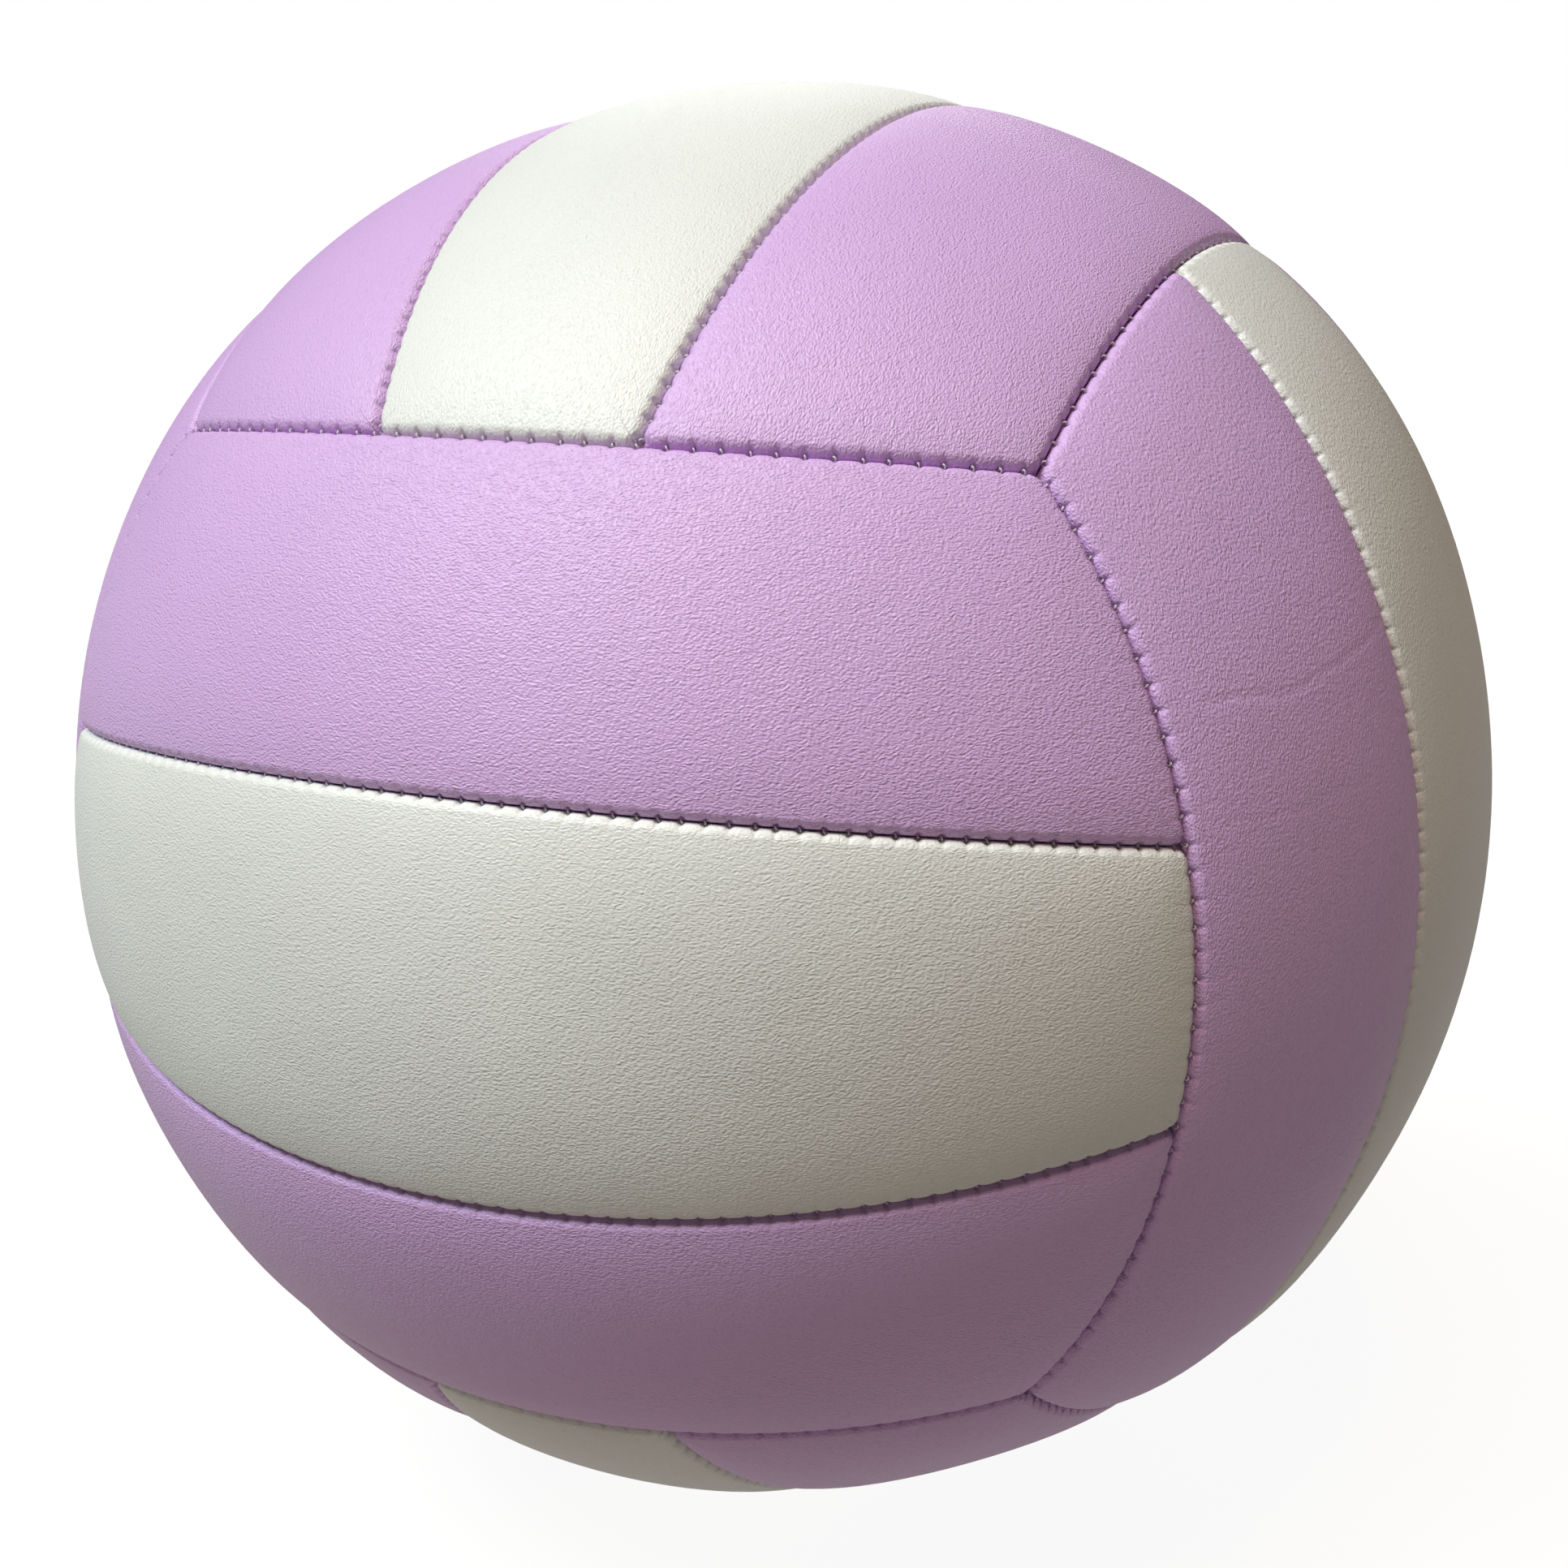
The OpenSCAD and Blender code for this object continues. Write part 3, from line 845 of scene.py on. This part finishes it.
def math_node(tree, operation, first, second=0.0):
    return add_node(tree, "ShaderNodeMath", {0: first, 1: second}, operation=operation).outputs[0]


def vector_node(tree, operation, first, second):
    return add_node(tree, "ShaderNodeVectorMath", {0: first, 1: second}, operation=operation).outputs[0]


def object_place(tree):
    return add_node(tree, "ShaderNodeTexCoord").outputs["Object"]


def noise(tree, vector, scale, detail=2.0, roughness=0.5, distortion=0.0, output=0):
    inputs = {"Vector": vector, "Scale": scale, "Detail": detail, "Roughness": roughness}
    inputs["Distortion"] = distortion
    return add_node(tree, "ShaderNodeTexNoise", inputs).outputs[output]


def map_range(tree, value, span, to_low=0.0, to_high=1.0, **properties):
    """Bring a value from a span to another, and hold it at the ends."""
    inputs = {"Value": value, "From Min": span[0], "From Max": span[1], "To Min": to_low, "To Max": to_high}
    return add_node(tree, "ShaderNodeMapRange", inputs, **properties).outputs[0]


def bump(tree, height, distance, strength=1.0, under=None, **properties):
    """The normal of a bumped surface, on top of the normal under it."""
    inputs = {"Height": height, "Strength": strength, "Distance": distance}
    if under is not None:
        inputs["Normal"] = under
    return add_node(tree, "ShaderNodeBump", inputs, **properties).outputs[0]


def mix_colours(tree, share, first, second):
    """Mix two colours, each a socket or three numbers."""
    inputs = {0: share}
    for key, value in ((6, first), (7, second)):
        inputs[key] = value if isinstance(value, bpy.types.NodeSocket) else (*value, 1.0)
    return add_node(tree, "ShaderNodeMix", inputs, data_type="RGBA").outputs[2]


def shaded(colour, factor):
    """A colour made lighter or darker."""
    return tuple(min(1.0, part * factor) for part in colour)


def swayed(tree, place, scale, reach):
    """Places moved to and fro by a slow noise, so that what is drawn on them isn't straight."""
    drift = vector_node(tree, "SUBTRACT", noise(tree, place, scale, output="Color"), (0.5, 0.5, 0.5))
    return vector_node(tree, "ADD", place, vector_node(tree, "MULTIPLY", drift, reach))


def crease_profile(tree, place, start, end, width):
    """1 along a line between two points, fading to 0 at a distance from it."""
    start, end = Vector(start), Vector(end)
    along = end - start
    from_start = vector_node(tree, "SUBTRACT", place, start)
    product = add_node(tree, "ShaderNodeVectorMath", {0: from_start, 1: along}, operation="DOT_PRODUCT")
    inputs = {0: product.outputs["Value"], 1: 1 / along.length_squared}
    share = add_node(tree, "ShaderNodeMath", inputs, operation="MULTIPLY", use_clamp=True)
    foot = add_node(tree, "ShaderNodeVectorMath", {0: along, "Scale": share.outputs[0]}, operation="SCALE")
    apart = vector_node(tree, "SUBTRACT", from_start, foot.outputs[0])
    distance = add_node(tree, "ShaderNodeVectorMath", {0: apart}, operation="LENGTH").outputs["Value"]
    return map_range(tree, distance, (0.0, width), 1.0, 0.0, interpolation_type="SMOOTHSTEP")


def crease_depth(tree, place):
    """Depth of the creases in the leather, in millimetres."""
    width, sway_scale, sway_reach = 1.15 * MM, 220.0, 1.6 * MM
    radius = bpy.context.scene.ball.crown_radius
    winding = swayed(tree, place, sway_scale, (sway_reach,) * 3)
    deepest = None
    for places, depth in CREASES:
        points = [direction_of(*each) * radius for each in places]
        for start, end in zip(points, points[1:]):
            part = math_node(tree, "MULTIPLY", crease_profile(tree, winding, start, end, width), depth)
            deepest = part if deepest is None else math_node(tree, "MAXIMUM", deepest, part)
    return deepest


def leather_grain(tree, stretch):
    """Height of a fine grain drawn out along a strip: ridges, with pebbles between them."""
    sway_scale, sway_reach = 0.7, 0.7
    ridge_scale, ridge_detail, ridge_roughness = 3.9, 0.4, 0.4
    pebble_scale, pebble_smoothness, pebble_share = 3.1, 1.0, 0.6
    surface = add_node(tree, "ShaderNodeUVMap", uv_map="surface").outputs[0]
    per_mm = vector_node(tree, "MULTIPLY", surface, (1 / MM,) * 3)
    flowing = swayed(tree, per_mm, sway_scale, (sway_reach, sway_reach, 0))
    drawn_out = vector_node(tree, "MULTIPLY", flowing, (1 / stretch, 1, 1))
    ridges = noise(tree, drawn_out, ridge_scale, ridge_detail, ridge_roughness)
    inputs = {"Vector": drawn_out, "Scale": pebble_scale, "Smoothness": pebble_smoothness}
    pebbles = add_node(tree, "ShaderNodeTexVoronoi", inputs, feature="SMOOTH_F1").outputs["Distance"]
    return math_node(tree, "SUBTRACT", ridges, math_node(tree, "MULTIPLY", pebbles, pebble_share))


def seam_folds(tree):
    """Height of the small folds that run out from the seams."""
    scale, squash, distortion, reach, height = 1.7, 0.35, 0.4, 3.2 * MM, 0.9
    at_seam = add_node(tree, "ShaderNodeAttribute", attribute_name="seam").outputs["Vector"]
    fan = vector_node(tree, "MULTIPLY", at_seam, (1 / MM, squash / MM, 1))
    folds = noise(tree, fan, scale, distortion=distortion)
    from_seam = add_node(tree, "ShaderNodeSeparateXYZ", {0: at_seam}).outputs[1]
    near_seam = map_range(tree, from_seam, (0.0, reach), 1.0, 0.0)
    folds = math_node(tree, "MULTIPLY", folds, math_node(tree, "POWER", near_seam, 2.0))
    return math_node(tree, "MULTIPLY", folds, height)


def leather_material(name, colour, grain_depth, is_creased):
    """Embossed synthetic leather with folds at its seams, faint clouds of colour and a soft gloss."""
    wave_scale, wave_depth, cloud_scale, cloud_detail = 55.0, 0.3 * MM, 18.0, 3.0
    material, tree, shader = new_material(name)
    height = leather_grain(tree, bpy.context.scene.ball_finish.stretch)
    grain = bump(tree, math_node(tree, "ADD", height, seam_folds(tree)), grain_depth)
    place = object_place(tree)
    normal = bump(tree, noise(tree, place, wave_scale), wave_depth, under=grain)
    if is_creased:
        normal = bump(tree, crease_depth(tree, place), MM, under=normal, invert=True)
    cloudy = map_range(tree, noise(tree, place, cloud_scale, cloud_detail), (0.35, 0.65))
    base = mix_colours(tree, cloudy, shaded(colour, 0.97), shaded(colour, 1.02))
    # Painted shade: the colour darkens in the grain's valleys, where the bump is lowest.
    valley_shade = map_range(tree, height, (-0.1, 0.2), 0.25, 0.0)
    set_inputs(tree, shader, {
        "Base Color": mix_colours(tree, valley_shade, base, shaded(colour, 0.8)),
        "Roughness": map_range(tree, height, (-0.2, 0.4), 0.52, 0.44),
        "Specular IOR Level": 0.5,
        "Normal": normal,
    })
    return material


def thread_material(colour):
    """Twisted polyester thread, with painted shade in the twist's grooves."""
    twist_scale, twist_depth, twist_strength = 3500.0, 0.0001, 0.6
    material, tree, shader = new_material("seam_thread")
    twist = noise(tree, object_place(tree), twist_scale)
    # Painted shade: the thread darkens where the twist's bump is low, in its grooves.
    twist_shade = map_range(tree, twist, (0.3, 0.7))
    set_inputs(tree, shader, {
        "Base Color": mix_colours(tree, twist_shade, shaded(colour, 0.8), colour),
        "Roughness": 0.6,
        "Normal": bump(tree, twist, twist_depth, twist_strength),
    })
    return material


def foam_material(colour):
    """Fine open foam with pores, and painted shade in the pores."""
    pore_scale, pore_depth, pore_strength = 1400.0, 0.0003, 0.7
    cloud_scale, cloud_detail = 40.0, 3.0
    material, tree, shader = new_material("foam")
    place = object_place(tree)
    inputs = {"Vector": place, "Scale": pore_scale}
    pores = add_node(tree, "ShaderNodeTexVoronoi", inputs, feature="F1").outputs["Distance"]
    clouds = noise(tree, place, cloud_scale, cloud_detail)
    tone = mix_colours(tree, clouds, shaded(colour, 0.9), shaded(colour, 1.06))
    # Painted shade: the colour darkens inside the pores, the bump's hollows.
    pore_shade = map_range(tree, pores, (0.1, 0.5), 0.5, 0.0)
    set_inputs(tree, shader, {
        "Base Color": mix_colours(tree, pore_shade, tone, shaded(colour, 0.55)),
        "Roughness": 0.9,
        "Specular IOR Level": 0.2,
        "Normal": bump(tree, pores, pore_depth, pore_strength),
    })
    return material


def cloth_material(colour, coordinates):
    """Plain-woven cloth; coordinates is the name of the UV map, or None for object coordinates."""
    threads_per_metre, weave_depth, weave_strength = 1600.0, 0.00012, 0.8
    slub_scale, slub_detail = 260.0, 3.0
    material, tree, shader = new_material(f"backing_cloth_{coordinates or 'patch'}")
    if coordinates:
        place = add_node(tree, "ShaderNodeUVMap", uv_map=coordinates).outputs[0]
    else:
        place = object_place(tree)
    split = add_node(tree, "ShaderNodeSeparateXYZ", {0: place})
    waves = []
    for axis in (0, 1 if coordinates else 2):
        turns = math_node(tree, "MULTIPLY", split.outputs[axis], threads_per_metre * math.pi)
        waves.append(math_node(tree, "SINE", turns))
    weave = math_node(tree, "MULTIPLY", waves[0], waves[1])
    slubs = noise(tree, place, slub_scale, slub_detail)
    tone = mix_colours(tree, slubs, shaded(colour, 0.85), shaded(colour, 1.1))
    # Painted shade: the colour darkens between the threads, where the weave's bump is low.
    weave_shade = map_range(tree, weave, (-1.0, 0.2), 0.45, 0.0)
    set_inputs(tree, shader, {
        "Base Color": mix_colours(tree, weave_shade, tone, shaded(colour, 0.6)),
        "Roughness": 0.85,
        "Normal": bump(tree, weave, weave_depth, weave_strength),
    })
    return material


def rubber_material(name, colour, roughness, bloom):
    """Moulded rubber with a little bloom, the pale film that rubber gets in store."""
    bloom_scale, bloom_detail, bloom_roughness, bloom_pale = 60.0, 4.0, 0.6, 0.25
    skin_scale, skin_depth, skin_strength, roughness_spread = 1200.0, 0.0001, 0.35, 0.12
    material, tree, shader = new_material(name)
    place = object_place(tree)
    blotches = noise(tree, place, bloom_scale, bloom_detail, bloom_roughness)
    patches = map_range(tree, blotches, (0.45, 0.75), 0.0, bloom)
    pale = tuple(part + bloom_pale for part in colour)
    fine = noise(tree, place, skin_scale)
    set_inputs(tree, shader, {
        "Base Color": mix_colours(tree, patches, colour, pale),
        "Roughness": map_range(tree, fine, (0.3, 0.7), roughness, roughness + roughness_spread),
        "Normal": bump(tree, fine, skin_depth, skin_strength),
    })
    return material


def give_material(node, material):
    """Put a material on a CAD node that stays."""
    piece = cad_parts[node]
    piece.data.materials.clear()
    piece.data.materials.append(material)


# Studio

def floor_material(studio):
    """A floor that the camera sees white, apart from the ball's shadow, and that lights the ball weakly."""
    mottle_scale, mottle_detail = 6.0, 3.0
    material, tree, shader = new_material("floor")
    mottle = noise(tree, object_place(tree), mottle_scale, mottle_detail)
    colour = tuple(studio.floor)
    shown = mix_colours(tree, mottle, colour, shaded(colour, 1.05))
    path = add_node(tree, "ShaderNodeLightPath").outputs
    in_sheen = math_node(tree, "MULTIPLY", path["Is Glossy Ray"], studio.floor_sheen)
    in_view = math_node(tree, "MAXIMUM", path["Is Camera Ray"], in_sheen)
    white = (studio.floor_white,) * 3
    set_inputs(tree, shader, {
        "Base Color": mix_colours(tree, in_view, studio.bounce, shown),
        "Roughness": 0.9,
        "Emission Color": mix_colours(tree, in_view, studio.floor_light, white),
        "Emission Strength": 1.0,
    })
    return material


def make_floor(studio):
    """A wide floor at the height on which the ball rests."""
    half_width, cells = 6.0, 8
    bm = bmesh.new()
    bmesh.ops.create_grid(bm, x_segments=cells, y_segments=cells, size=half_width)
    bmesh.ops.translate(bm, verts=bm.verts, vec=(0, 0, cad_box[0].z))
    mesh = finished_mesh("floor", bm)
    mesh.materials.append(floor_material(studio))
    floor = add_object("floor", mesh)
    floor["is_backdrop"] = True


def make_surroundings(colour, strength):
    """White to the camera, and a weak even light to everything else."""
    world = bpy.data.worlds.new("studio")
    bpy.context.scene.world = world
    world.use_nodes = True
    tree = world.node_tree
    light = tree.nodes["Background"]
    set_inputs(tree, light, {"Color": (*colour, 1.0), "Strength": strength})
    white = add_node(tree, "ShaderNodeBackground", {"Color": (1, 1, 1, 1), "Strength": 1.0})
    seen = add_node(tree, "ShaderNodeLightPath").outputs["Is Camera Ray"]
    both = add_node(tree, "ShaderNodeMixShader", {0: seen, 1: light.outputs[0], 2: white.outputs[0]})
    tree.links.new(both.outputs[0], tree.nodes["World Output"].inputs[0])


def make_lamp(name, towards, spread, strength, colour):
    """A far, wide, soft lamp that shines from a direction."""
    data = bpy.data.lights.new(name, "SUN")
    data.angle = spread
    data.energy = strength
    data.color = colour
    lamp = add_object(name, data)
    lamp.location = towards.normalized()
    lamp.rotation_euler = towards.to_track_quat("Z", "Y").to_euler()


def camera_axes(studio):
    """Right, up and back of the camera."""
    flat = math.cos(studio.elevation)
    back = Vector((
        math.sin(studio.azimuth) * flat, -math.cos(studio.azimuth) * flat, math.sin(studio.elevation)
    ))
    level = Vector((math.cos(studio.azimuth), math.sin(studio.azimuth), 0))
    right = level * math.cos(studio.roll) + back.cross(level) * math.sin(studio.roll)
    return right, back.cross(right), back


def make_camera(studio):
    """A camera that looks at the ball from the photo's side."""
    right, up, back = camera_axes(studio)
    data = bpy.data.cameras.new("camera")
    data.sensor_width = 36.0
    data.lens = studio.lens
    data.shift_x = studio.shift_right
    data.shift_y = studio.shift_up
    data.clip_start = 0.01
    camera = add_object("camera", data)
    turn = Matrix((right, up, back)).transposed().to_4x4()
    camera.matrix_world = Matrix.Translation(back * studio.distance) @ turn
    bpy.context.scene.camera = camera


# Operators

class BALL_OT_cover(bpy.types.Operator):
    """Make the eighteen leather strips with their turned-in, stitched edges"""

    bl_idname = "ball.cover"
    bl_label = "Cover"

    def execute(self, context):
        finish = context.scene.ball_finish
        materials = {
            "lilac_leather": leather_material("lilac_leather", finish.lilac, finish.grain, True),
            "white_leather": leather_material("white_leather", finish.ivory, finish.white_grain, False),
        }
        for strip in all_strips():
            make_skin(strip, materials)
        return {"FINISHED"}


class BALL_OT_padding(bpy.types.Operator):
    """Make the foam and the woven backing behind each strip"""

    bl_idname = "ball.padding"
    bl_label = "Padding"

    def execute(self, context):
        ball, finish = context.scene.ball, context.scene.ball_finish
        foam = foam_material(finish.foam)
        cloth = cloth_material(finish.cloth, "surface")
        inset = ball.seam_gap / 2 + ball.roll_radius
        for strip in all_strips():
            make_ply(strip, "foam", ball.foam_top, ball.foam_bottom, inset, foam)
            make_ply(strip, "backing", ball.backing_top, ball.backing_bottom, inset, cloth)
        return {"FINISHED"}


class BALL_OT_stitches(bpy.types.Operator):
    """Sew the seams"""

    bl_idname = "ball.stitches"
    bl_label = "Stitches"

    def execute(self, context):
        stitching = context.scene.ball_stitching
        thread = thread_material(context.scene.ball_finish.thread)
        depth, sunk_depth = stitching.loop_depth, stitching.loop_depth + stitching.sunk
        edge_seams, strip_seams = sewn_seams(Layout(context.scene.ball))
        make_stitches("edge_seam_stitches", edge_seams, depth, thread, "edge_seam_thread")
        make_stitches("strip_seam_stitches", strip_seams, sunk_depth, thread, "strip_seam_thread")
        return {"FINISHED"}


class BALL_OT_inside(bpy.types.Operator):
    """Finish the bladder, the valve and the patch"""

    bl_idname = "ball.inside"
    bl_label = "Bladder and valve"

    def execute(self, context):
        finish = context.scene.ball_finish
        lighter = shaded(finish.rubber, 1.3)
        bladder = rubber_material("bladder_rubber", finish.rubber, roughness=0.42, bloom=0.25)
        housing = rubber_material("valve_rubber", lighter, roughness=0.5, bloom=0.1)
        plug = rubber_material("plug_rubber", finish.plug, roughness=0.55, bloom=0.1)
        give_material("bladder", bladder)
        give_material("valve_housing", housing)
        give_material("valve_plug", plug)
        give_material("valve_patch", cloth_material(finish.cloth, None))
        return {"FINISHED"}


class BALL_OT_studio(bpy.types.Operator):
    """Make the camera, the lamps and the floor"""

    bl_idname = "ball.studio"
    bl_label = "Studio"

    def execute(self, context):
        studio = context.scene.ball_studio
        make_camera(studio)
        make_floor(studio)
        make_surroundings(studio.ambient_colour, studio.ambient)
        right, up, back = camera_axes(studio)
        colours = {"key": studio.key_colour, "fill": studio.fill_colour, "rear": PLAIN_LIGHT}
        for name, (side, height, depth) in LAMPS.items():
            towards = side * right + height * up + depth * back
            make_lamp(name, towards, studio.softness, getattr(studio, name), colours[name])
        context.scene.view_settings.view_transform = "Standard"
        return {"FINISHED"}


OPERATORS = (BALL_OT_studio, BALL_OT_cover, BALL_OT_padding, BALL_OT_stitches, BALL_OT_inside)


class BALL_PT_sidebar(bpy.types.Panel):
    """Lists the steps that dress the ball"""

    bl_label = "Ball"
    bl_space_type = "VIEW_3D"
    bl_region_type = "UI"
    bl_category = "Ball"

    def draw(self, context):
        for operator in OPERATORS:
            self.layout.operator(operator.bl_idname)


def register():
    for name, settings in SETTINGS.items():
        bpy.utils.register_class(settings)
        setattr(bpy.types.Scene, name, PointerProperty(type=settings))
    for each in (*OPERATORS, BALL_PT_sidebar):
        bpy.utils.register_class(each)


def unregister():
    for each in reversed((*OPERATORS, BALL_PT_sidebar)):
        bpy.utils.unregister_class(each)
    for name, settings in reversed(SETTINGS.items()):
        delattr(bpy.types.Scene, name)
        bpy.utils.unregister_class(settings)


def main():
    register()
    bpy.ops.ball.studio()
    bpy.ops.ball.cover()
    bpy.ops.ball.padding()
    bpy.ops.ball.stitches()
    bpy.ops.ball.inside()
    boxes = {"cad": cad_box, "visual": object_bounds()}
    sizes = {name: [list(corner) for corner in box] for name, box in boxes.items()}


if __name__ == "__main__":
    main()
